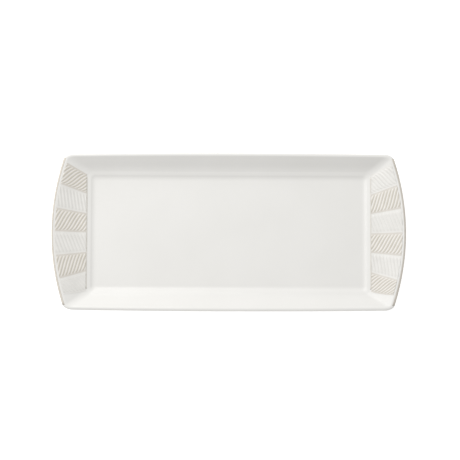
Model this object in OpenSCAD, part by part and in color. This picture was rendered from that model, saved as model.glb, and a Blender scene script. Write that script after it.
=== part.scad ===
// China serving platter: a rectangular dish with bowed ends, decorated with raised wave panels.
// Millimetres, +Z up, +X along the length. The origin is under the middle, on the table.

/* [Outline] */
// Overall length, from the tip of one bowed end to the other
platter_length = 380; // [340:1:420]
// Overall width, across the middle
platter_width = 171.6; // [150:0.2:190]
// How far each end bows out beyond its corners
end_bow = 14.3; // [6:0.1:18]
// How far each long side bows out beyond its corners
side_bow = 1.3; // [0.2:0.1:3]
// Length of an outer corner's rounding along the long side
corner_length = 9; // [5:0.5:14]
// Width of an outer corner's rounding along the bowed end
corner_width = 5; // [3:0.5:9]

/* [Heights] */
// Height of the lip above the table
platter_height = 18.5; // [16:0.5:24]
// Height of the bare ring that the dish stands on
foot_height = 2; // [1:0.5:4]
// Thickness of the china under the well
base_thickness = 4; // [3:0.5:6]
// Thickness of the lip
lip_thickness = 3; // [2:0.2:4]
// Distance from the lip's crest out to its edge
lip_roll = 2.2; // [1.5:0.1:3]
// Height of the low wall around the well
wall_height = 1.5; // [0.8:0.1:3]
// Rise of the shoulder from the wall's top to the start of the flange
shoulder_rise = 1.2; // [0.5:0.1:2]

/* [Well] */
// Length of the well at the top of its wall
well_length = 297; // [270:1:310]
// Width of the well at the top of its wall
well_width = 125.4; // [105:0.2:130]
// Distance that the wall leans out on its way up from the floor
wall_run = 5.5; // [3:0.5:7]
// Rounding of the well's corners at the top of its wall
well_radius = 4; // [3:0.5:8]
// Rounding of the well's corners at its floor
floor_radius = 2; // [1:0.5:3]
// Width of the shoulder between the well's wall and the decoration
shoulder_width = 4; // [3:0.2:6]

/* [Foot] */
// Distance from the well's edge in to the foot ring
foot_inset = 9; // [6:1:20]
// Width of the foot ring
foot_width = 4; // [3:0.5:6]
// Rounding of the foot ring's outer corners
foot_radius = 9; // [7:0.5:12]

/* [Decoration] */
// Number of wave panels across each end
panel_count = 6; // [2:2:10]
// Part of the end's width that the panels cover
panel_span = 0.95; // [0.8:0.005:0.97]
// How far the fan draws in from the far corners, as a part of its half width
far_trim = 0.03; // [0:0.01:0.2]
// How far the fan draws in from the near corners, as a part of its half width
near_trim = 0.11; // [0:0.01:0.2]
// Plain band between the wave panels and the outline
plain_band = 3.8; // [3:0.2:8]
// Distance from one wave ridge to the next
wave_pitch = 3.7; // [3:0.1:6]
// How far a ridge leans on its way across a taupe panel, as a part of the panel's width
taupe_lean = 0.72; // [0.2:0.01:1]
// How far a ridge leans on its way across a white panel, as a part of the panel's width
white_lean = 0.5; // [0.2:0.01:1]
// Flat band along both borders of a panel, as a part of its width
flat_band = 0.07; // [0.02:0.01:0.1]
// Height of a wave ridge above its enamel ground
wave_height = 0.35; // [0.1:0.05:0.8]
// Thickness of the enamel ground of a panel
ground_thickness = 0.15; // [0.1:0.05:0.4]
// Width of the thin line beside the well
inner_line_width = 1.2; // [0.6:0.1:2]
// Thickness of the metallic and taupe lines
line_thickness = 0.15; // [0.1:0.05:0.3]

/* [Hidden] */
china_colour = [0.93, 0.93, 0.91];
bare_china_colour = [0.90, 0.89, 0.86];
edge_line_colour = [0.80, 0.76, 0.70];
inner_line_colour = [0.84, 0.81, 0.77];
taupe_colour = [0.79, 0.77, 0.70];
white_enamel_colour = [0.89, 0.89, 0.87];

// Clearance that keeps fired-on decoration just off the facets of the glaze
fired_gap = 0.02;
// Outline steps in one quarter: along the end, round the corner, and along the side
end_steps = 8;
arc_steps = 8;
side_steps = 8;
// Steps through the flange's bend, round the lip, and round the lip under the metallic line
bend_steps = 5;
lip_steps = 7;
edge_line_steps = 4;
// Rows of points across a wave panel, and steps in one wave, from valley to crest and back
row_steps = 8;
wave_steps = 2;

// Half sizes of the rectangle that the bowed outline is drawn around
rim_half = [platter_length / 2 - end_bow, platter_width / 2 - side_bow];
well_half = [well_length / 2, well_width / 2];
// The line beside the well is a rectangle whose corner lies on the mitre from well to rim
mitre_slope = (rim_half[1] - well_half[1]) / (rim_half[0] - well_half[0]);
line_half = well_half + [shoulder_width, shoulder_width * mitre_slope];
line_radius = 5;
// The most that a corner's rounding shrinks when its ring is drawn in
corner_give = 2;

floor_z = foot_height + base_thickness;
wall_z = floor_z + wall_height;
line_z = wall_z + shoulder_rise;
// Drop of the glaze under the line from its outer border to its inner one
line_drop = 0.36;
lip_radius = lip_thickness / 2;
lip_z = platter_height - lip_radius;
// Angles at which the lip's round leaves the flange above and below
lip_top_angle = 130;
lip_under_angle = -62;
// Angles between which the metallic line wraps over the lip
edge_line_start = 84;
edge_line_wrap = 84;
// Vertical thickness of the flange
flange_thickness = 3.4;

// The heel is the curve from under the shoulder to the flat base: where it starts, how far it drops,
// and the flat strip that it leaves outside the foot ring
heel_inset = 2;
heel_drop = 1.4;
heel_margin = 1.5;

// The flange starts gently beside the well, steepens over its first stretch and is straight from there on.
// Its slope is given as a multiple of the mean slope
flange_bend = 0.45;
flange_start_slope = 0.66;
flange_end_slope = (1 - flange_start_slope * flange_bend / 2) / (1 - flange_bend / 2);

// --- Rings of points ---------------------------------------------------------------------------

// A ring is [half length, half width, end bow, side bow, corner length, corner width, height].

// The rectangle of the line beside the well, at blend 0, or the rim, at blend 1, moved out by grow.
function blend_ring(blend, grow, z) = [
    line_half[0] + blend * (rim_half[0] - line_half[0]) + grow,
    line_half[1] + blend * (rim_half[1] - line_half[1]) + grow,
    blend * end_bow,
    blend * side_bow,
    line_radius + blend * (corner_length - line_radius) + max(grow, -corner_give),
    line_radius + blend * (corner_width - line_radius) + max(grow, -corner_give),
    z
];

// The well's outline, moved inward by inset.
function well_ring(inset, radius, z) =
    [well_half[0] - inset, well_half[1] - inset, 0, 0, radius, radius, z];

// A ring of the wall, at a share of its run from the floor to its top. The wall steepens as it rises.
function wall_ring(share) = well_ring(
    wall_run * (1 - share),
    floor_radius + share * (well_radius - floor_radius),
    floor_z + wall_height * share * share
);

// A ring of the heel, at a share of its run from the shoulder to the flat base.
function heel_ring(share) = well_ring(
    heel_inset + share * (foot_inset - heel_margin - heel_inset),
    well_radius,
    foot_height + heel_drop * (1 - share) * (1 - share)
);

// A point on the lip's round, or as far above it as cover, given as [growth of the rim's ring, height].
function lip_profile(angle, cover) = [
    (lip_roll + cover) * cos(angle) - lip_roll,
    (lip_radius + cover) * sin(angle) + lip_z
];
function lip_ring(angle, cover = 0) =
    let (p = lip_profile(angle, cover))
    blend_ring(1, p[0], p[1]);

// Share of the flange's height that is reached at a share of its run.
function flange_rise(share) =
    let (
        gain = (flange_end_slope - flange_start_slope) / (2 * flange_bend),
        bend = min(share, flange_bend)
    )
    flange_start_slope * bend + gain * bend * bend + flange_end_slope * (share - bend);

// The flange runs from the outer border of the line beside the well to the start of the lip.
flange_foot = blend_ring(0, inner_line_width / 2, line_z);
flange_head = lip_ring(lip_top_angle);
function flange_ring(share, drop = 0) =
    let (
        ring = flange_foot + share * (flange_head - flange_foot),
        rise = flange_rise(share) * (flange_head[6] - flange_foot[6])
    )
    [for (k = [0:5]) ring[k], flange_foot[6] + rise - drop];

// Pushes the ends and sides of a rectangle outward into shallow curves.
function bowed(p, ring) = [
    p[0] * (1 + ring[2] / ring[0] * (1 - pow(p[1] / ring[1], 2))),
    p[1] * (1 + ring[3] / ring[1] * (1 - pow(p[0] / ring[0], 2))),
    ring[6]
];

// Points from the middle of the right end to the middle of the far side, before bowing.
function quarter(ring) =
    let (a = ring[0], b = ring[1], length = ring[4], width = ring[5])
    concat(
        [for (k = [0:end_steps - 1]) [a, (b - width) * k / end_steps]],
        [
            for (k = [0:arc_steps])
                let (angle = 90 * k / arc_steps)
                [a - length * (1 - cos(angle)), b - width * (1 - sin(angle))]
        ],
        [for (k = [1:side_steps]) [(a - length) * (1 - k / side_steps), b]]
    );

quarter_steps = end_steps + arc_steps + side_steps;
ring_size = 4 * quarter_steps;

// The whole ring, counter-clockwise from the middle of the right end.
function ring_points(ring) =
    let (q = quarter(ring), n = quarter_steps)
    [
        for (p = concat(
            [for (k = [0:n - 1]) q[k]],
            [for (k = [0:n - 1]) [-q[n - k][0], q[n - k][1]]],
            [for (k = [0:n - 1]) -q[k]],
            [for (k = [0:n - 1]) [q[n - k][0], -q[n - k][1]]]
        ))
        bowed(p, ring)
    ];

// --- Solids from rows of points ----------------------------------------------------------------

function joined(lists) = [for (list = lists) each list];

// Faces between two neighbouring rows of n points each.
function row_faces(row, next_row, n) = [
    for (k = [0:n - 2]) each [
        [row * n + k, next_row * n + k, next_row * n + k + 1],
        [row * n + k, next_row * n + k + 1, row * n + k + 1]
    ]
];

// A solid whose surface is a stack of closed rings, with a flat cap on the first and last.
module ring_solid(rings) {
    n = ring_size;
    last = (len(rings) - 1) * n;
    first_centre = len(rings) * n;
    last_centre = first_centre + 1;
    walls = [
        for (row = [0:len(rings) - 2], k = [0:n - 1])
            let (a = row * n, b = a + n, next = (k + 1) % n)
            each [[a + k, b + next, b + k], [a + k, a + next, b + next]]
    ];
    caps = [
        for (k = [0:n - 1])
            let (next = (k + 1) % n)
            each [[first_centre, next, k], [last_centre, last + k, last + next]]
    ];
    centres = [for (ring = [rings[0], rings[len(rings) - 1]]) [0, 0, ring[0][2]]];
    polyhedron(points = concat(joined(rings), centres), faces = concat(walls, caps), convexity = 4);
}

// A bar whose surface is a closed loop of rows, with both of its ends capped.
module bar_solid(rows) {
    n = len(rows[0]);
    count = len(rows);
    walls = joined([for (row = [0:count - 1]) row_faces(row, (row + 1) % count, n)]);
    start_cap = [[for (row = [count - 1:-1:0]) row * n]];
    end_cap = [[for (row = [0:count - 1]) row * n + n - 1]];
    polyhedron(points = joined(rows), faces = concat(walls, start_cap, end_cap), convexity = 4);
}

function reversed(face) = [for (k = [len(face) - 1:-1:0]) face[k]];

// A slab between two grids of the same size, with walls round its four borders.
module slab_solid(top, under, flipped) {
    n = len(top[0]);
    rows = len(top);
    low = rows * n;
    last = (rows - 1) * n;
    grid = joined([for (row = [0:rows - 2]) row_faces(row, row + 1, n)]);
    long_walls = [
        for (k = [0:n - 2])
            each [
                [k, k + 1, low + k], [k + 1, low + k + 1, low + k],
                [last + k, low + last + k, last + k + 1],
                [last + k + 1, low + last + k, low + last + k + 1]
            ]
    ];
    short_walls = [
        for (row = [0:rows - 2])
            let (a = row * n, b = a + n, c = a + n - 1, d = b + n - 1)
            each [
                [a, low + a, b], [b, low + a, low + b],
                [c, d, low + c], [d, low + d, low + c]
            ]
    ];
    faces = concat(
        grid,
        [for (face = grid) reversed(face + [low, low, low])],
        long_walls,
        short_walls
    );
    polyhedron(
        points = concat(joined(top), joined(under)),
        faces = flipped ? [for (face = faces) reversed(face)] : faces,
        convexity = 10
    );
}

// --- Dish --------------------------------------------------------------------------------------

// The lip's round from the flange above to the flange below.
lip_angles = [for (k = [0:lip_steps]) lip_top_angle + (lip_under_angle - lip_top_angle) * k / lip_steps];

module china_body() {
    well_rings = [for (share = [0, 0.35, 0.7, 1]) wall_ring(share)];
    line_ring = blend_ring(0, -inner_line_width / 2, line_z - line_drop);
    flange_rings = [for (k = [0:bend_steps]) flange_ring(k / bend_steps * flange_bend)];
    lip_rings = [for (angle = lip_angles) lip_ring(angle)];
    under_rings = [for (share = [0.85, flange_bend, 0]) flange_ring(share, flange_thickness)];
    heel_rings = [for (share = [0, 0.5, 1]) heel_ring(share)];
    rings = concat(well_rings, [line_ring], flange_rings, lip_rings, under_rings, heel_rings);
    color(china_colour)
        ring_solid([for (ring = rings) ring_points(ring)]);
}

module rounded_rectangle(half, radius) {
    square([2 * half[0] - 2 * radius, 2 * half[1]], center = true);
    square([2 * half[0], 2 * half[1] - 2 * radius], center = true);
    for (x = [-1, 1], y = [-1, 1])
        translate([x * (half[0] - radius), y * (half[1] - radius)])
            circle(radius, $fn = 64);
}

module foot_ring() {
    outer_half = well_half - [foot_inset, foot_inset];
    inner_half = outer_half - [foot_width, foot_width];
    color(bare_china_colour)
        linear_extrude(foot_height)
            difference() {
                rounded_rectangle(outer_half, foot_radius);
                rounded_rectangle(inner_half, foot_radius - foot_width);
            }
}

// --- Fired-on lines, drawn on the right end ----------------------------------------------------

// The points of a ring on its right end, between both corners.
function end_slice(points) = [for (k = [-end_steps:end_steps]) points[(k + ring_size) % ring_size]];

module edge_line() {
    // The line wraps over the lip from its crest to its outermost point.
    angles = [for (k = [0:edge_line_steps]) edge_line_start - edge_line_wrap * k / edge_line_steps];
    inside = [for (angle = angles) lip_ring(angle, fired_gap)];
    outside = [for (k = [edge_line_steps:-1:0]) lip_ring(angles[k], line_thickness)];
    color(edge_line_colour)
        bar_solid([for (ring = concat(inside, outside)) end_slice(ring_points(ring))]);
}

module inner_line() {
    half = inner_line_width / 2 - fired_gap;
    section = [[half, fired_gap], [half, line_thickness], [-half, line_thickness], [-half, fired_gap]];
    tilt = line_drop / inner_line_width;
    color(inner_line_colour)
        bar_solid([
            for (p = section)
                end_slice(ring_points(blend_ring(0, p[0], line_z - line_drop / 2 + tilt * p[0] + p[1])))
        ]);
}

// --- Wave panels, drawn on the right end -------------------------------------------------------

// A point on the end side of a ring, at a fraction across it from -1 to 1.
function end_point(ring, across) =
    let (past = max(0, abs(across) * ring[1] - (ring[1] - ring[5])) / ring[5])
    bowed([ring[0] - ring[4] * (1 - sqrt(1 - past * past)), across * ring[1]], ring);

// The flange's run in plan, at a fraction across the end.
function flange_run(across) =
    let (run = end_point(flange_head, across) - end_point(flange_foot, across))
    norm([run[0], run[1]]);

// Run of a panel, which leaves the plain band between it and the outline.
function panel_run(across) = flange_run(across) - plain_band - (flange_head[0] - rim_half[0]);

// A point that lies u along the flange and rises h above it.
function flange_point(across, u, h) =
    end_point(flange_ring(u / flange_run(across)), across) + [0, 0, h];

panel_width = panel_span * (line_half[1] + rim_half[1]) / panel_count;

// Slope in plan of the fan's ray at a fraction across the end.
function fan_slope(across) =
    let (ray = end_point(flange_head, across) - end_point(flange_foot, across))
    ray[1] / ray[0];

// Distance along the flange that a ridge covers on its way across a panel. It leans by the same
// angle from the square of every ray.
function wave_length(lean, from, to) =
    panel_width * (lean - sign(to - from) * fan_slope((from + to) / 2));

// Fraction of a panel's width at a row. Rows are spaced so that each ridge is an S that meets both
// borders at a tangent.
function row_place(row) = 0.5 - 0.5 * cos(180 * row / row_steps);

// Height of the enamel: ridges along the flange, which end at the flat bands beside both borders.
function relief(u, row) =
    let (
        rise = 0.5 - 0.5 * cos(360 * u / wave_pitch),
        inside = min(row_place(row), 1 - row_place(row)) - flat_band
    )
    ground_thickness + wave_height * rise * min(1, max(0, inside / flat_band));

// A border on its way out to the lip. The first and last border draw in from the corners.
function drawn_in(border, share, side) =
    let (trim = (border > 0) == (side == "right") ? far_trim : near_trim)
    abs(border) < panel_span ? border : border * (1 - trim * share);

// One panel. Its ridges lean from the border at "from" to the border at "to".
module wave_panel(lean, from, to, side) {
    length = wave_length(lean, from, to);
    shift = [for (row = [0:row_steps]) length * (row / row_steps - 1)];
    columns = ceil((panel_run(0) + length) / wave_pitch * wave_steps);
    // Fraction across the end at a row and a share of the flange's run.
    function across(row, share) =
        let (a = drawn_in(from, share, side), b = drawn_in(to, share, side))
        a + (b - a) * row_place(row);
    function place(row, u, h) =
        let (run = flange_run(across(row, 0)))
        flange_point(across(row, u / run), u, h);
    // Places along a row follow the ridges and are cut off at the ends of the panel.
    places = [
        for (row = [0:row_steps])
            let (run = panel_run(across(row, 1)))
            [for (k = [0:columns]) min(run, max(0, shift[row] + k * wave_pitch / wave_steps))]
    ];
    top = [
        for (row = [0:row_steps])
            [for (u = places[row]) place(row, u, relief(u - shift[row], row))]
    ];
    under = [for (row = [0:row_steps]) [for (u = places[row]) place(row, u, fired_gap)]];
    slab_solid(top, under, from > to);
}

// Border between panels, counted from the near side: 0 is the first border.
function border(index) = panel_span * (2 * index / panel_count - 1);

module taupe_panel(number, side) {
    color(taupe_colour)
        wave_panel(taupe_lean, border(2 * number - 2), border(2 * number - 1), side);
}

module white_panel(number, side) {
    color(white_enamel_colour)
        wave_panel(white_lean, border(2 * number), border(2 * number - 1), side);
}

// --- Whole platter -----------------------------------------------------------------------------

// The left end is the right end turned half way round.
module on_end(side) {
    rotate([0, 0, side == "left" ? 180 : 0])
        children();
}

SIDES = ["left", "right"];
NUMBERS = [1:panel_count / 2];
NODES = concat(
    ["china_body", "foot_ring"],
    [for (side = SIDES) str("edge_line_", side)],
    [for (side = SIDES) str("inner_line_", side)],
    [for (side = SIDES, number = NUMBERS) str("taupe_", side, "_", number)],
    [for (side = SIDES, number = NUMBERS) str("white_", side, "_", number)]
);
node = "all";

function drawn(name) = node == "all" || node == name;

if (drawn("china_body")) china_body();
if (drawn("foot_ring")) foot_ring();
for (side = SIDES) {
    if (drawn(str("edge_line_", side))) on_end(side) edge_line();
    if (drawn(str("inner_line_", side))) on_end(side) inner_line();
    for (number = NUMBERS) {
        if (drawn(str("taupe_", side, "_", number))) on_end(side) taupe_panel(number, side);
        if (drawn(str("white_", side, "_", number))) on_end(side) white_panel(number, side);
    }
}
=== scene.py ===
"""China serving platter: a fine mesh for each CAD node, with its glazes, enamels, light and camera."""

import math

import bmesh
import bpy
import numpy as np
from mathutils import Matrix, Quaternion, Vector


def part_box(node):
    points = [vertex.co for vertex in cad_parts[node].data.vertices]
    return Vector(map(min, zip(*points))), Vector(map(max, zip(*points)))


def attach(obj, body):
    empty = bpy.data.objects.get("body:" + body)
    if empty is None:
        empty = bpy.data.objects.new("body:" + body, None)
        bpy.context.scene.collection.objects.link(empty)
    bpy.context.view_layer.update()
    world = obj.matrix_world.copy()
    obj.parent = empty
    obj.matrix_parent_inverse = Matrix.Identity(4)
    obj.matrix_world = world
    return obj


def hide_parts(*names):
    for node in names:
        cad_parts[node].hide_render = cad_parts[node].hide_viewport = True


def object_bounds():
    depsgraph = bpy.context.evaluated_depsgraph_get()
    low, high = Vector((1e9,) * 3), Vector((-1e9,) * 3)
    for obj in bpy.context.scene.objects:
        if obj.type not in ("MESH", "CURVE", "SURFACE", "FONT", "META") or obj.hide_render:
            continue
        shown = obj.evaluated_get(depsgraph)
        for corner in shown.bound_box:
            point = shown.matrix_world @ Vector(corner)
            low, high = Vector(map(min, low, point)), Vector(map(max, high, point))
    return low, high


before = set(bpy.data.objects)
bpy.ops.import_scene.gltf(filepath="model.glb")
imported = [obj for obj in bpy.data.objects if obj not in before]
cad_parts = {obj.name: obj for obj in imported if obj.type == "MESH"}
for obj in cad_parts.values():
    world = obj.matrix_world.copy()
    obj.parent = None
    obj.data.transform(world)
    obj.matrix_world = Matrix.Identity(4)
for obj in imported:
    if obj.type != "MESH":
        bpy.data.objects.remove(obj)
cad_low, cad_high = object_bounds()

# --- Sizes, in metres ---------------------------------------------------------------------------

MM = 0.001

body_low, body_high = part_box("china_body")
foot_low, foot_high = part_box("foot_ring")

END_BOW = 14.3 * MM
SIDE_BOW = 1.3 * MM
RIM_HALF = np.array([body_high.x - END_BOW, body_high.y - SIDE_BOW])
CORNER_LENGTH = 9.0 * MM
CORNER_WIDTH = 5.0 * MM
RIM_TOP = body_high.z
FOOT_HEIGHT = foot_high.z

BASE_THICKNESS = 4.0 * MM
WALL_HEIGHT = 1.5 * MM
WALL_RUN = 5.5 * MM
SHOULDER_RISE = 1.2 * MM
LIP_RADIUS = 1.5 * MM
LIP_ROLL = 2.2 * MM
FLANGE_THICKNESS = 3.4 * MM
FOOT_INSET = 9.0 * MM
FOOT_WIDTH = 4.0 * MM
FOOT_RADIUS = 9.0 * MM
HEEL_INSET = 2.0 * MM
HEEL_DROP = 1.4 * MM
HEEL_MARGIN = 1.5 * MM

WELL_HALF = np.array([foot_high.x, foot_high.y]) + FOOT_INSET
WELL_RADIUS = 4.0 * MM
FLOOR_RADIUS = 2.0 * MM
SHOULDER_WIDTH = 4.0 * MM
LINE_RADIUS = 5.0 * MM
CORNER_GIVE = 2.0 * MM
LINE_WIDTH = 1.2 * MM
LINE_THICKNESS = 0.15 * MM

MITRE_SLOPE = (RIM_HALF[1] - WELL_HALF[1]) / (RIM_HALF[0] - WELL_HALF[0])
LINE_HALF = WELL_HALF + SHOULDER_WIDTH * np.array([1.0, MITRE_SLOPE])

FLOOR_Z = FOOT_HEIGHT + BASE_THICKNESS
WALL_Z = FLOOR_Z + WALL_HEIGHT
LINE_Z = WALL_Z + SHOULDER_RISE
LINE_DROP = 0.36 * MM
LIP_Z = RIM_TOP - LIP_RADIUS
LIP_TOP_ANGLE = 130
LIP_UNDER_ANGLE = -62
EDGE_LINE_START = 84
EDGE_LINE_WRAP = 84

# The flange starts gently beside the well, steepens over its first stretch and is straight from there on.
# Its slope is given as a multiple of the mean slope.
FLANGE_BEND = 0.45
FLANGE_START_SLOPE = 0.66
FLANGE_END_SLOPE = (1 - FLANGE_START_SLOPE * FLANGE_BEND / 2) / (1 - FLANGE_BEND / 2)

PANEL_COUNT = 6
PANEL_SPAN = 0.95
FAR_TRIM = 0.03
NEAR_TRIM = 0.11
PLAIN_BAND = 3.8 * MM
WAVE_PITCH = 3.7 * MM
TAUPE_LEAN = 0.72
WHITE_LEAN = 0.5
FLAT_BAND = 0.07
WAVE_HEIGHT = 0.35 * MM
GROUND_THICKNESS = 0.15 * MM
# Parts of a wave's length between which its enamel is a ridge
RIDGE_START = 0.22
RIDGE_END = 0.78
# Depth by which fired-on enamel is sunk into the glaze
EMBED = 0.05 * MM
# Points of a panel that are closer together than this become one point
MERGE_DISTANCE = 0.0005 * MM

# Fineness of the meshes
END_STEPS = 28
ARC_STEPS = 14
SIDE_STEPS = 30
PROFILE_STEPS = 6
ROW_STEPS = 28
WAVE_STEPS = 10


# --- Rings --------------------------------------------------------------------------------------
# A ring is (half length, half width, end bow, side bow, corner length, corner width, height).


def blend_ring(blend, z, grow=0.0):
    """A ring of the flange: the line beside the well at blend 0, and the rim at blend 1."""
    half = LINE_HALF + blend * (RIM_HALF - LINE_HALF) + grow
    corner = LINE_RADIUS + blend * (np.array([CORNER_LENGTH, CORNER_WIDTH]) - LINE_RADIUS)
    return np.array([*half, blend * END_BOW, blend * SIDE_BOW, *(corner + max(grow, -CORNER_GIVE)), z])


def well_ring(inset, radius, z):
    """The well's outline moved inward by inset."""
    half = WELL_HALF - inset
    return np.array([*half, 0.0, 0.0, radius, radius, z])


def wall_ring(share):
    """The wall round the well, which steepens as it rises, at a share of its run up from the floor."""
    radius = FLOOR_RADIUS + share * (WELL_RADIUS - FLOOR_RADIUS)
    return well_ring(WALL_RUN * (1 - share), radius, FLOOR_Z + WALL_HEIGHT * share**2)


def heel_ring(share):
    """The curve under the shoulder, at a share of its run in to the flat base."""
    inset = HEEL_INSET + share * (FOOT_INSET - HEEL_MARGIN - HEEL_INSET)
    return well_ring(inset, WELL_RADIUS, FOOT_HEIGHT + HEEL_DROP * (1 - share) ** 2)


def bowed(x, y, ring):
    """Pushes the ends and sides of a rectangle outward into shallow curves."""
    a, b, end_bow, side_bow = ring[:4]
    return x * (1 + end_bow / a * (1 - (y / b) ** 2)), y * (1 + side_bow / b * (1 - (x / a) ** 2))


def quarter(ring):
    """Points from the middle of the right end to the middle of the far side."""
    a, b, _, _, length, width, z = ring
    points = [(a, (b - width) * k / END_STEPS) for k in range(END_STEPS)]
    for k in range(ARC_STEPS + 1):
        angle = math.pi / 2 * k / ARC_STEPS
        points.append((a - length * (1 - math.cos(angle)), b - width * (1 - math.sin(angle))))
    points += [((a - length) * (1 - k / SIDE_STEPS), b) for k in range(1, SIDE_STEPS + 1)]
    return [(*bowed(x, y, ring), z) for x, y in points]


def ring_points(ring):
    """The whole ring, counter-clockwise from the middle of the right end."""
    q = quarter(ring)
    forward, backward = q[:-1], q[:0:-1]
    return (
        forward
        + [(-x, y, z) for x, y, z in backward]
        + [(-x, -y, z) for x, y, z in forward]
        + [(x, -y, z) for x, y, z in backward]
    )


RING_SIZE = 4 * (END_STEPS + ARC_STEPS + SIDE_STEPS)


def smooth_rings(rings, steps):
    """Rings between the given ones, on a Catmull-Rom curve through them."""
    rings = [np.array(r) for r in rings]
    padded = [2 * rings[0] - rings[1]] + rings + [2 * rings[-1] - rings[-2]]
    out = []
    for k in range(1, len(padded) - 2):
        p0, p1, p2, p3 = padded[k - 1 : k + 3]
        for step in range(steps):
            t = step / steps
            out.append(
                0.5
                * (
                    2 * p1
                    + (p2 - p0) * t
                    + (2 * p0 - 5 * p1 + 4 * p2 - p3) * t**2
                    + (3 * p1 - p0 - 3 * p2 + p3) * t**3
                )
            )
    out.append(rings[-1])
    return out


# --- Pieces -------------------------------------------------------------------------------------


def make_piece(name, points, faces, materials, nodes):
    """A mesh that stands for CAD nodes and rides on the platter."""
    mesh = bpy.data.meshes.new(name)
    mesh.from_pydata([tuple(p) for p in points], [], faces)
    piece = bpy.data.objects.new(name, mesh)
    bpy.context.scene.collection.objects.link(piece)
    for material in materials:
        mesh.materials.append(material)
    mesh.polygons.foreach_set("use_smooth", [True] * len(mesh.polygons))
    mesh.update()
    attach(piece, "root")
    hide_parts(*nodes)
    return piece


def loft_faces(ring_count, n):
    """Quads between neighbouring closed rings of n points, facing outward."""
    return [
        (row * n + k, (row + 1) * n + k, (row + 1) * n + (k + 1) % n, row * n + (k + 1) % n)
        for row in range(ring_count - 1)
        for k in range(n)
    ]


def lip_ring(angle, cover=0.0):
    """A ring at an angle round the lip, or as far above the lip's surface as cover."""
    turn = math.radians(angle)
    grow = (LIP_ROLL + cover) * math.cos(turn) - LIP_ROLL
    return blend_ring(1, LIP_Z + (LIP_RADIUS + cover) * math.sin(turn), grow)


LINE_INNER = blend_ring(0, LINE_Z - LINE_DROP, -LINE_WIDTH / 2)
FLANGE_FOOT = blend_ring(0, LINE_Z, LINE_WIDTH / 2)
FLANGE_HEAD = lip_ring(LIP_TOP_ANGLE)


def flange_rise(share):
    """Share of the flange's height that is reached at a share of its run."""
    gain = (FLANGE_END_SLOPE - FLANGE_START_SLOPE) / (2 * FLANGE_BEND)
    bend = min(share, FLANGE_BEND)
    return FLANGE_START_SLOPE * bend + gain * bend**2 + FLANGE_END_SLOPE * (share - bend)


def flange_ring(share, drop=0.0):
    """A ring of the flange's upper side, or of its underside if dropped by its thickness."""
    ring = FLANGE_FOOT + (FLANGE_HEAD - FLANGE_FOOT) * share
    ring[6] = FLANGE_FOOT[6] + (FLANGE_HEAD[6] - FLANGE_FOOT[6]) * flange_rise(share) - drop
    return ring


def dish_rings():
    """The dish's surface as rings, from the middle of its floor over the lip to its underside."""
    floor_margin = 2 * MM
    floor = [well_ring(WALL_RUN + floor_margin, FLOOR_RADIUS, FLOOR_Z)]
    well = [wall_ring(share) for share in (0, 0.35, 0.7, 1)] + [LINE_INNER]
    flange = [flange_ring(share) for share in (0, 0.15, 0.3, 0.45, 0.6, 0.8, 0.95)]
    lip_steps = 8
    lip = [
        lip_ring(LIP_TOP_ANGLE + (LIP_UNDER_ANGLE - LIP_TOP_ANGLE) * k / lip_steps)
        for k in range(lip_steps + 1)
    ]
    underside = [flange_ring(share, FLANGE_THICKNESS) for share in (0.85, 0.6, 0.45, 0.2, 0)]
    base = [heel_ring(share) for share in (0, 0.5, 1)] + [well_ring(FOOT_INSET, WELL_RADIUS, FOOT_HEIGHT)]
    return smooth_rings(floor + well + flange + lip + underside + base, PROFILE_STEPS)


def make_dish(materials):
    """The china dish, with its surface closed in the middle of the floor and of the underside."""
    rings = dish_rings()
    points = [p for ring in rings for p in ring_points(ring)]
    faces = loft_faces(len(rings), RING_SIZE)
    top_centre, under_centre = len(points), len(points) + 1
    last = (len(rings) - 1) * RING_SIZE
    points += [(0, 0, rings[0][6]), (0, 0, rings[-1][6])]
    for k in range(RING_SIZE):
        after = (k + 1) % RING_SIZE
        faces.append((top_centre, k, after))
        faces.append((under_centre, last + after, last + k))
    return make_piece("dish", points, faces, materials, ["china_body"])


def make_foot(materials):
    """The bare ring under the well, with slightly worn edges."""
    outer = np.array([foot_high.x, foot_high.y])
    inner = outer - FOOT_WIDTH
    round_off = 0.5 * MM
    bevel = 0.3 * round_off
    profile = [
        (outer, 0.0, FOOT_HEIGHT),
        (outer, 0.0, round_off),
        (outer, bevel, bevel),
        (outer, round_off, 0.0),
        (inner, -round_off, 0.0),
        (inner, -bevel, bevel),
        (inner, 0.0, round_off),
        (inner, 0.0, FOOT_HEIGHT),
    ]
    points = []
    for half, inset, z in profile:
        radius = FOOT_RADIUS - (FOOT_WIDTH if half is inner else 0) - inset
        points += ring_points(np.array([*(half - inset), 0.0, 0.0, radius, radius, z]))
    n = len(profile)
    faces = [
        (row * RING_SIZE + k, (row + 1) % n * RING_SIZE + k,
         (row + 1) % n * RING_SIZE + (k + 1) % RING_SIZE, row * RING_SIZE + (k + 1) % RING_SIZE)
        for row in range(n)
        for k in range(RING_SIZE)
    ]
    return make_piece("foot", points, faces, materials, ["foot_ring"])


def turned(points, side):
    """Points of the right end as they are, or turned half way round for the left end."""
    return [(-x, -y, z) for x, y, z in points] if side == "left" else list(points)


def make_bar(name, rings, side, materials, node):
    """A thin bar along one end, between its corners, whose section is a closed loop of rings."""
    rows = []
    for ring in rings:
        around = ring_points(ring)
        rows.append([around[k % RING_SIZE] for k in range(-END_STEPS, END_STEPS + 1)])
    n, count = len(rows[0]), len(rows)
    faces = [
        (row * n + k, (row + 1) % count * n + k, (row + 1) % count * n + k + 1, row * n + k + 1)
        for row in range(count)
        for k in range(n - 1)
    ]
    faces.append(tuple(row * n for row in reversed(range(count))))
    faces.append(tuple(row * n + n - 1 for row in range(count)))
    points = turned([p for row in rows for p in row], side)
    return make_piece(name, points, faces, materials, [node])


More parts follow.
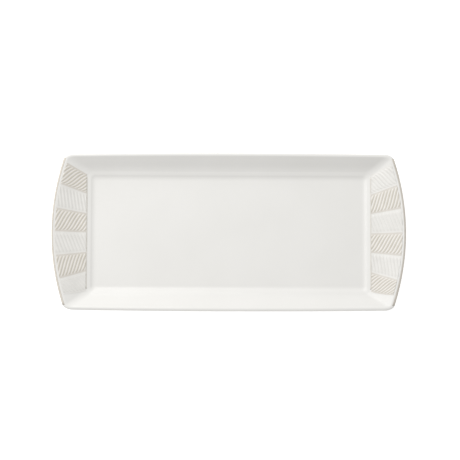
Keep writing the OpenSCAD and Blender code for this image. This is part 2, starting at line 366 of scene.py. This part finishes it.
def make_edge_line(side, materials):
    """The metallic line that wraps over the lip of a bowed end."""
    steps = 10
    crown_power = 0.4
    least_crown = 0.1
    angles = [EDGE_LINE_START - EDGE_LINE_WRAP * k / steps for k in range(steps + 1)]
    inside = [lip_ring(angle, -EMBED) for angle in angles]
    outside = []
    for k, angle in enumerate(reversed(angles)):
        # The line is thinnest at its two borders.
        crown = math.sin(math.pi * k / steps) ** crown_power
        outside.append(lip_ring(angle, LINE_THICKNESS * max(crown, least_crown)))
    return make_bar(
        f"rim_line_{side}", inside + outside, side, materials, f"edge_line_{side}"
    )


def make_inner_line(side, materials):
    """The taupe line beside the well, highest in its middle and thin at its two borders."""
    half = LINE_WIDTH / 2
    # Across the line in half widths, and up from the glaze in thicknesses
    section = [(1, -0.1), (1, 0.3), (0.6, 1), (-0.6, 1), (-1, 0.3), (-1, -0.1)]
    rings = [
        blend_ring(0, LINE_Z + LINE_DROP * (across - 1) / 2 + LINE_THICKNESS * up, half * across)
        for across, up in section
    ]
    return make_bar(
        f"well_line_{side}", rings, side, materials, f"inner_line_{side}"
    )


# --- Wave panels --------------------------------------------------------------------------------


def end_point(ring, across):
    """A point on the end side of a ring, at a fraction across it from -1 to 1."""
    a, b, _, _, length, width, z = ring
    past = max(0.0, abs(across) * b - (b - width)) / width
    x, y = bowed(a - length * (1 - math.sqrt(1 - past**2)), across * b, ring)
    return np.array([x, y, z])


def flange_run(across):
    """The flange's run in plan at a fraction across the end."""
    run = end_point(FLANGE_HEAD, across) - end_point(FLANGE_FOOT, across)
    return math.hypot(run[0], run[1])


def panel_run(across):
    """Run of a panel, which leaves the plain band between it and the outline."""
    return flange_run(across) - PLAIN_BAND - (FLANGE_HEAD[0] - RIM_HALF[0])


def flange_point(across, u, height):
    """A point that lies u along the flange and rises height above it."""
    return end_point(flange_ring(u / flange_run(across)), across) + np.array([0, 0, height])


PANEL_WIDTH = PANEL_SPAN * (LINE_HALF[1] + RIM_HALF[1]) / PANEL_COUNT


def fan_slope(across):
    """Slope in plan of the fan's ray at a fraction across the end."""
    ray = end_point(FLANGE_HEAD, across) - end_point(FLANGE_FOOT, across)
    return ray[1] / ray[0]


def wave_length(lean, start, end):
    """Distance along the flange that a ridge covers, leaning alike from the square of every ray."""
    direction = 1 if end > start else -1
    return PANEL_WIDTH * (lean - direction * fan_slope((start + end) / 2))


def row_place(row):
    """Fraction of a panel's width at a row, eased so that each ridge meets both borders at a tangent."""
    return 0.5 - 0.5 * math.cos(math.pi * row / ROW_STEPS)


def relief(u, row):
    """Height of the enamel: ridges along the flange, which end at flat bands beside both borders."""
    rise = 0.5 - 0.5 * math.cos(2 * math.pi * u / WAVE_PITCH)
    inside = min(row_place(row), 1 - row_place(row)) - FLAT_BAND
    return GROUND_THICKNESS + WAVE_HEIGHT * rise * min(1.0, max(0.0, inside / FLAT_BAND))


def drawn_in(border_place, share, side):
    """A border on its way out to the lip: the first and the last draw in from the corners."""
    if abs(border_place) < PANEL_SPAN:
        return border_place
    trim = FAR_TRIM if (border_place > 0) == (side == "right") else NEAR_TRIM
    return border_place * (1 - trim * share)


def make_panel(name, lean, start, end, side, materials, node):
    """One fired-on panel, whose ridges lean from the border at start to the border at end."""
    length = wave_length(lean, start, end)
    columns = math.ceil((panel_run(0) + length) / WAVE_PITCH * WAVE_STEPS)
    n = columns + 1

    def across(row, share):
        first, last = drawn_in(start, share, side), drawn_in(end, share, side)
        return first + (last - first) * row_place(row)

    top, under = [], []
    for row in range(ROW_STEPS + 1):
        run = panel_run(across(row, 1.0))
        whole_run = flange_run(across(row, 0.0))
        shift = length * (row / ROW_STEPS - 1)
        for k in range(n):
            u = min(run, max(0.0, shift + k * WAVE_PITCH / WAVE_STEPS))
            place = across(row, u / whole_run)
            top.append(flange_point(place, u, relief(u - shift, row)))
            under.append(flange_point(place, u, -EMBED))
    low, last = len(top), ROW_STEPS * n
    faces = []
    for row in range(ROW_STEPS):
        a, b = row * n, (row + 1) * n
        for k in range(columns):
            faces.append((a + k, a + k + 1, b + k + 1, b + k))
            faces.append((low + a + k, low + b + k, low + b + k + 1, low + a + k + 1))
        c, d = a + columns, b + columns
        faces.append((a, b, low + b, low + a))
        faces.append((c, low + c, low + d, d))
    for k in range(columns):
        faces.append((k, low + k, low + k + 1, k + 1))
        faces.append((last + k, last + k + 1, low + last + k + 1, low + last + k))
    if start > end:
        faces = [face[::-1] for face in faces]
    piece = make_piece(name, turned(top + under, side), faces, materials, [node])
    paint_ridges(piece, n, low)
    return piece


def paint_ridges(piece, n, top_points):
    """Gives the ridges the second material and the flat bands the third.

    The faces that the panel's ends cut to nothing are dropped.
    """
    ground, ridge, band = range(3)
    mesh = piece.data
    for polygon in mesh.polygons:
        column = min(v % n for v in polygon.vertices)
        row = min(v // n for v in polygon.vertices)
        phase = (column + 0.5) / WAVE_STEPS % 1
        if any(v >= top_points for v in polygon.vertices):
            polygon.material_index = ground
        elif min(row_place(row), 1 - row_place(row + 1)) < FLAT_BAND:
            polygon.material_index = band
        elif RIDGE_START < phase < RIDGE_END:
            polygon.material_index = ridge
    work = bmesh.new()
    work.from_mesh(mesh)
    bmesh.ops.remove_doubles(work, verts=work.verts, dist=MERGE_DISTANCE)
    bmesh.ops.dissolve_degenerate(work, edges=work.edges, dist=MERGE_DISTANCE)
    work.to_mesh(mesh)
    work.free()
    mesh.update()


def border(index):
    """Fraction across the end of a border between panels, counted from the near side."""
    return PANEL_SPAN * (2 * index / PANEL_COUNT - 1)


# --- Materials ----------------------------------------------------------------------------------


def new_material(name, colour_low, colour_high, scale, roughness, grain=0.0, grain_scale=1.0, **sockets):
    """A ceramic surface whose colour drifts slightly between two tones, with a fine grain."""
    material = bpy.data.materials.new(name)
    material.use_nodes = True
    nodes, links = material.node_tree.nodes, material.node_tree.links
    shader = nodes["Principled BSDF"]
    place = nodes.new("ShaderNodeTexCoord")
    drift = nodes.new("ShaderNodeTexNoise")
    drift.inputs["Scale"].default_value = scale
    drift.inputs["Detail"].default_value = 3.0
    links.new(place.outputs["Object"], drift.inputs["Vector"])
    tones = nodes.new("ShaderNodeValToRGB")
    tones.color_ramp.elements[0].position = 0.35
    tones.color_ramp.elements[0].color = (*colour_low, 1)
    tones.color_ramp.elements[1].position = 0.65
    tones.color_ramp.elements[1].color = (*colour_high, 1)
    links.new(drift.outputs["Fac"], tones.inputs["Fac"])
    links.new(tones.outputs["Color"], shader.inputs["Base Color"])
    shader.inputs["Roughness"].default_value = roughness
    if grain:
        texture = nodes.new("ShaderNodeTexNoise")
        texture.inputs["Scale"].default_value = grain_scale
        texture.inputs["Detail"].default_value = 2.0
        links.new(place.outputs["Object"], texture.inputs["Vector"])
        bump = nodes.new("ShaderNodeBump")
        bump.inputs["Strength"].default_value = grain
        bump.inputs["Distance"].default_value = 0.05 * MM
        links.new(texture.outputs["Fac"], bump.inputs["Height"])
        links.new(bump.outputs["Normal"], shader.inputs["Normal"])
    for socket, value in sockets.items():
        shader.inputs[socket.replace("_", " ")].default_value = value
    return material


china = new_material(
    "bone_china", (0.795, 0.785, 0.757), (0.81, 0.80, 0.773), 18, 0.25,
    grain=0.15, grain_scale=900, Specular_IOR_Level=0.3, Coat_Weight=0.1, Coat_Roughness=0.05,
)
bare_china = new_material(
    "bare_china", (0.73, 0.71, 0.67), (0.77, 0.755, 0.715), 60, 0.75, grain=0.6, grain_scale=2500,
)
metallic_line = new_material(
    "metallic_line", (0.61, 0.57, 0.51), (0.66, 0.62, 0.56), 90, 0.7,
    grain=0.2, grain_scale=1500, Metallic=0.3,
)
taupe_line = new_material(
    "taupe_line", (0.67, 0.645, 0.59), (0.71, 0.685, 0.635), 90, 0.35, grain=0.2, grain_scale=1500,
)
taupe_ground = new_material(
    "taupe_ground", (0.785, 0.755, 0.715), (0.815, 0.785, 0.745), 120, 0.3, grain=0.2, grain_scale=1800,
)
taupe_ridge = new_material(
    "taupe_ridge", (0.605, 0.57, 0.495), (0.645, 0.61, 0.54), 120, 0.35, grain=0.2, grain_scale=1800,
)
taupe_band = new_material(
    "taupe_band", (0.66, 0.625, 0.57), (0.69, 0.655, 0.60), 120, 0.35, grain=0.2, grain_scale=1800,
)
white_ground = new_material(
    "white_ground", (0.765, 0.75, 0.715), (0.795, 0.78, 0.745), 120, 0.3, grain=0.2, grain_scale=1800,
)
white_ridge = new_material(
    "white_ridge", (0.75, 0.735, 0.70), (0.78, 0.765, 0.73), 120, 0.3, grain=0.2, grain_scale=1800,
)

make_dish([china])
make_foot([bare_china])
for side in ("left", "right"):
    make_edge_line(side, [metallic_line])
    make_inner_line(side, [taupe_line])
    for number in range(1, PANEL_COUNT // 2 + 1):
        low, middle, high = (border(2 * number - 2 + k) for k in range(3))
        make_panel(
            f"waves_taupe_{side}_{number}", TAUPE_LEAN, low, middle, side,
            [taupe_ground, taupe_ridge, taupe_band], f"taupe_{side}_{number}",
        )
        make_panel(
            f"waves_white_{side}_{number}", WHITE_LEAN, high, middle, side,
            [white_ground, white_ridge, white_ground], f"white_{side}_{number}",
        )


# --- Studio -------------------------------------------------------------------------------------


def make_floor():
    """A plain white table top that the platter stands on."""
    size = 40.0
    mesh = bpy.data.meshes.new("table_top")
    corners = [(-size, -size, 0), (size, -size, 0), (size, size, 0), (-size, size, 0)]
    mesh.from_pydata(corners, [], [(0, 1, 2, 3)])
    table_top = bpy.data.objects.new("table_top", mesh)
    bpy.context.scene.collection.objects.link(table_top)
    material = bpy.data.materials.new("table_top")
    material.use_nodes = True
    shader = material.node_tree.nodes["Principled BSDF"]
    shader.inputs["Base Color"].default_value = (0.9, 0.9, 0.9, 1)
    shader.inputs["Roughness"].default_value = 0.9
    shader.inputs["Specular IOR Level"].default_value = 0.0
    shader.inputs["Emission Color"].default_value = (1, 1, 1, 1)
    shader.inputs["Emission Strength"].default_value = 0.45
    mesh.materials.append(material)


def make_world():
    """Even white light from all sides."""
    world = bpy.data.worlds.new("studio")
    bpy.context.scene.world = world
    world.use_nodes = True
    background = world.node_tree.nodes["Background"]
    background.inputs["Color"].default_value = (1, 1, 1, 1)
    background.inputs["Strength"].default_value = 0.635


def make_softbox(name, place, aim, size, power):
    """A square area light that faces its aim."""
    light = bpy.data.lights.new(name, "AREA")
    light.shape = "SQUARE"
    light.size = size
    light.energy = power
    softbox = bpy.data.objects.new(name, light)
    softbox.location = place
    softbox.rotation_mode = "QUATERNION"
    softbox.rotation_quaternion = (Vector(aim) - Vector(place)).to_track_quat("-Z", "Y")
    bpy.context.scene.collection.objects.link(softbox)


def make_camera():
    """A long lens almost straight above, tipped a little towards the near side."""
    camera_data = bpy.data.cameras.new("camera")
    camera_data.lens = 250
    camera_data.sensor_width = 36
    camera = bpy.data.objects.new("camera", camera_data)
    bpy.context.scene.collection.objects.link(camera)
    bpy.context.scene.camera = camera
    elevation = math.radians(82)
    roll = math.radians(0.2)
    share_of_frame = 0.772
    width_in_view = (cad_high.x - cad_low.x) / share_of_frame
    distance = width_in_view * camera_data.lens / camera_data.sensor_width
    back = Vector((0, -math.cos(elevation), math.sin(elevation)))
    aim = Vector((0.0014, 0.0018, RIM_TOP))
    camera.rotation_mode = "QUATERNION"
    camera.rotation_quaternion = (-back).to_track_quat("-Z", "Y") @ Quaternion((0, 0, 1), roll)
    camera.location = aim + back * distance
    camera_data.clip_start = 0.01
    camera_data.clip_end = 100


make_floor()
make_world()
make_softbox("key", (-0.70, 0.80, 0.90), (0, 0, 0), 1.4, 15.6)
make_camera()
bpy.context.scene.view_settings.view_transform = "Standard"
